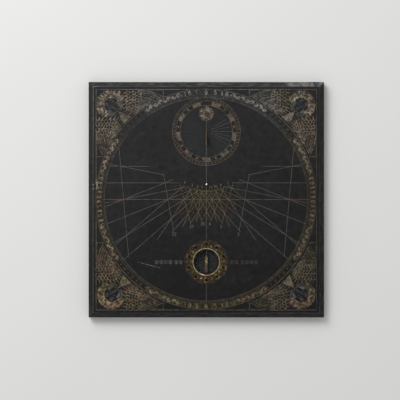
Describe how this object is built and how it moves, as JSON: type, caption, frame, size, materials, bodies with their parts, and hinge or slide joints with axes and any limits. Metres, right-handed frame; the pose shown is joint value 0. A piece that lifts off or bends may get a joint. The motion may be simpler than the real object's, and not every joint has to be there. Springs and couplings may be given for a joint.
{
  "type": "multiple sundial",
  "caption": "Square bevelled slate with gilded horizontal sundials, a pin gnomon, a plate gnomon and a glazed magnetic compass let into its face.",
  "frame": {"origin": "centre of the slate's underside", "axes": "+Z out of the dial face, +Y towards the dial's south edge, +X towards its west edge"},
  "size_m": [0.45, 0.45, 0.0572],
  "materials": {
    "slate": "honed, worn",
    "gold_leaf": "worn gold leaf in engraved lines",
    "brass": "old polished brass",
    "brown_brass": "brown patina",
    "lead": "dull lead",
    "steel": "worn needle steel",
    "silver_tip": "polished",
    "card": "dark painted card",
    "agate": "polished agate",
    "clear_glass": "clear"
  },
  "bodies": {
    "dial_plate": {"slate_slab": "slate", "border_line": "gold_leaf", "ring_lines": "gold_leaf", "degree_ticks": "gold_leaf", "ring_scrolls": "gold_leaf", "hour_line_net": "gold_leaf", "small_dial_rings": "gold_leaf", "small_dial_blocks": "gold_leaf", "small_dial_hours": "gold_leaf", "sun_face": "gold_leaf", "compass_garland": "gold_leaf", "wind_head_se": "gold_leaf", "wind_head_sw": "gold_leaf", "wind_head_ne": "gold_leaf", "wind_head_nw": "gold_leaf", "wings_se": "gold_leaf", "wings_sw": "gold_leaf", "wings_ne": "gold_leaf", "wings_nw": "gold_leaf", "breath_cones": "gold_leaf", "pin_gnomon": "brass", "pin_ball": "silver_tip", "pin_lead": "lead", "plate_gnomon": "brown_brass", "plate_lead": "lead", "compass_bowl": "brass", "compass_card": "card", "compass_pivot": "steel", "compass_glass": "clear_glass", "compass_ring": "brass"},
    "compass_needle": {"needle_blade": "steel", "needle_plate": "brass", "needle_cap": "brass", "needle_jewel": "agate"}
  },
  "joints": [
    {"name": "needle_swing", "type": "hinge", "parent": "dial_plate", "child": "compass_needle", "pos_m": [0, -0.1185, 0.0165], "axis": [0, 0, 1], "continuous": true}
  ]
}
